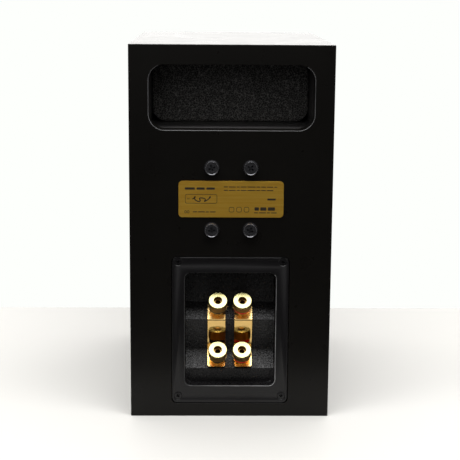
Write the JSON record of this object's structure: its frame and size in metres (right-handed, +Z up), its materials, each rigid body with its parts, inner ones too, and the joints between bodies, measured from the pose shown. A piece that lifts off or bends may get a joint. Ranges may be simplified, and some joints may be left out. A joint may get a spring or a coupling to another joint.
{
  "type": "bookshelf speaker",
  "caption": "Two-way bookshelf speaker with a black cabinet, rear slot vent, label plate and a recessed terminal cup of gold binding posts joined by link plates.",
  "frame": {"origin": "middle of the footprint, on the surface that the speaker stands on", "axes": "+Z up; -Y the front, with the drivers; +Y the rear, with the vent and terminals; +X the left side as seen from the front"},
  "size_m": [0.155, 0.2387, 0.29],
  "materials": {
    "lacquer": "satin black lacquer on fibreboard",
    "fibreboard": "bare fibreboard",
    "moulded_black": "fine satin texture",
    "black_steel": "black zinc plated steel, satin",
    "gold_plate": "polished gold plate on brass",
    "label_brass": "brushed brass sheet",
    "ring_red": "gold plated collar with a red plastic band",
    "ring_black": "gold plated collar with a black plastic band",
    "foam": "open cell foam",
    "rubber": "matt",
    "cast_alloy": "satin black painted casting",
    "cone": "doped, slightly textured",
    "soft_cloth": "coated woven cloth",
    "spider_cloth": "impregnated woven cloth",
    "ferrite": "matt ceramic",
    "steel": "zinc plated",
    "copper": "enamelled wire winding",
    "circuit_board": "lacquered laminate",
    "capacitor_sleeve": "film sleeve",
    "wire": "insulated pair"
  },
  "bodies": {
    "cabinet": {"top_panel": "lacquer", "bottom_panel": "lacquer", "left_side_panel": "lacquer", "right_side_panel": "lacquer", "front_baffle": "lacquer", "rear_panel": "lacquer", "vent_shelf": "fibreboard", "line_divider": "fibreboard", "line_damping_foam": "foam", "vent_foam": "foam", "rating_label_plate": "label_brass", "bracket_screw_1": "black_steel", "bracket_screw_2": "black_steel", "bracket_screw_3": "black_steel", "bracket_screw_4": "black_steel", "terminal_screw_1": "black_steel", "terminal_screw_2": "black_steel", "terminal_screw_3": "black_steel", "terminal_screw_4": "black_steel", "woofer_screw_1": "black_steel", "woofer_screw_2": "black_steel", "woofer_screw_3": "black_steel", "woofer_screw_4": "black_steel", "tweeter_screw_1": "black_steel", "tweeter_screw_2": "black_steel", "tweeter_screw_3": "black_steel", "terminal_panel": "moulded_black", "tweeter_faceplate": "moulded_black", "terminal_gasket": "rubber", "woofer_surround": "rubber", "binding_post_upper_left": "gold_plate", "binding_post_upper_right": "gold_plate", "binding_post_lower_left": "gold_plate", "binding_post_lower_right": "gold_plate", "woofer_chassis": "cast_alloy", "woofer_top_plate": "steel", "woofer_yoke": "steel", "tweeter_motor": "steel", "woofer_magnet": "ferrite", "bass_inductor": "copper", "woofer_spider": "spider_cloth", "crossover_board": "circuit_board", "treble_capacitor": "capacitor_sleeve", "woofer_lead": "wire", "tweeter_lead": "wire", "terminal_lead": "wire"},
    "woofer_moving_group": {"woofer_cone": "cone", "woofer_dust_cap": "cone", "woofer_voice_coil": "copper"},
    "tweeter_diaphragm": {"tweeter_dome": "soft_cloth"},
    "jumper_left": {"jumper_left": "gold_plate"},
    "jumper_right": {"jumper_right": "gold_plate"},
    "collar_upper_left": {"clamp_collar_upper_left": "ring_black"},
    "nut_upper_left": {"thumb_nut_upper_left": "gold_plate"},
    "collar_upper_right": {"clamp_collar_upper_right": "ring_red"},
    "nut_upper_right": {"thumb_nut_upper_right": "gold_plate"},
    "collar_lower_left": {"clamp_collar_lower_left": "ring_black"},
    "nut_lower_left": {"thumb_nut_lower_left": "gold_plate"},
    "collar_lower_right": {"clamp_collar_lower_right": "ring_red"},
    "nut_lower_right": {"thumb_nut_lower_right": "gold_plate"}
  },
  "joints": [
    {"name": "woofer_excursion", "type": "slide", "parent": "cabinet", "child": "woofer_moving_group", "axis": [0, -1, 0], "range_m": [-0.004, 0.004], "stiffness_N_per_m": 900, "deforming": ["woofer_surround", "woofer_spider"]},
    {"name": "tweeter_excursion", "type": "slide", "parent": "cabinet", "child": "tweeter_diaphragm", "axis": [0, -1, 0], "range_m": [-0.0004, 0.0004], "stiffness_N_per_m": 120},
    {"name": "jumper_left_slide", "type": "slide", "parent": "cabinet", "child": "jumper_left", "axis": [1, 0, 0], "range_m": [0, 0.014]},
    {"name": "jumper_right_slide", "type": "slide", "parent": "cabinet", "child": "jumper_right", "axis": [-1, 0, 0], "range_m": [0, 0.014]},
    {"name": "collar_upper_left_lift", "type": "slide", "parent": "cabinet", "child": "collar_upper_left", "axis": [0, 0.7071, 0.7071], "range_m": [0, 0.006]},
    {"name": "nut_upper_left_turn", "type": "hinge", "parent": "collar_upper_left", "child": "nut_upper_left", "pos_m": [0.0095, 0.11142, 0.09047], "axis": [0, 0.7071, 0.7071], "range_deg": [0, 2160.1]},
    {"name": "collar_upper_right_lift", "type": "slide", "parent": "cabinet", "child": "collar_upper_right", "axis": [0, 0.7071, 0.7071], "range_m": [0, 0.006]},
    {"name": "nut_upper_right_turn", "type": "hinge", "parent": "collar_upper_right", "child": "nut_upper_right", "pos_m": [-0.0095, 0.11142, 0.09047], "axis": [0, 0.7071, 0.7071], "range_deg": [0, 2160.1]},
    {"name": "collar_lower_left_lift", "type": "slide", "parent": "cabinet", "child": "collar_lower_left", "axis": [0, 0.7071, 0.7071], "range_m": [0, 0.006]},
    {"name": "nut_lower_left_turn", "type": "hinge", "parent": "collar_lower_left", "child": "nut_lower_left", "pos_m": [0.0095, 0.11142, 0.05077], "axis": [0, 0.7071, 0.7071], "range_deg": [0, 2160.1]},
    {"name": "collar_lower_right_lift", "type": "slide", "parent": "cabinet", "child": "collar_lower_right", "axis": [0, 0.7071, 0.7071], "range_m": [0, 0.006]},
    {"name": "nut_lower_right_turn", "type": "hinge", "parent": "collar_lower_right", "child": "nut_lower_right", "pos_m": [-0.0095, 0.11142, 0.05077], "axis": [0, 0.7071, 0.7071], "range_deg": [0, 2160.1]}
  ],
  "couplings": [
    {"joint": "nut_upper_left_turn", "follows": "collar_upper_left_lift", "rad_per_m": 6283.2},
    {"joint": "nut_upper_right_turn", "follows": "collar_upper_right_lift", "rad_per_m": 6283.2},
    {"joint": "nut_lower_left_turn", "follows": "collar_lower_left_lift", "rad_per_m": 6283.2},
    {"joint": "nut_lower_right_turn", "follows": "collar_lower_right_lift", "rad_per_m": 6283.2}
  ]
}
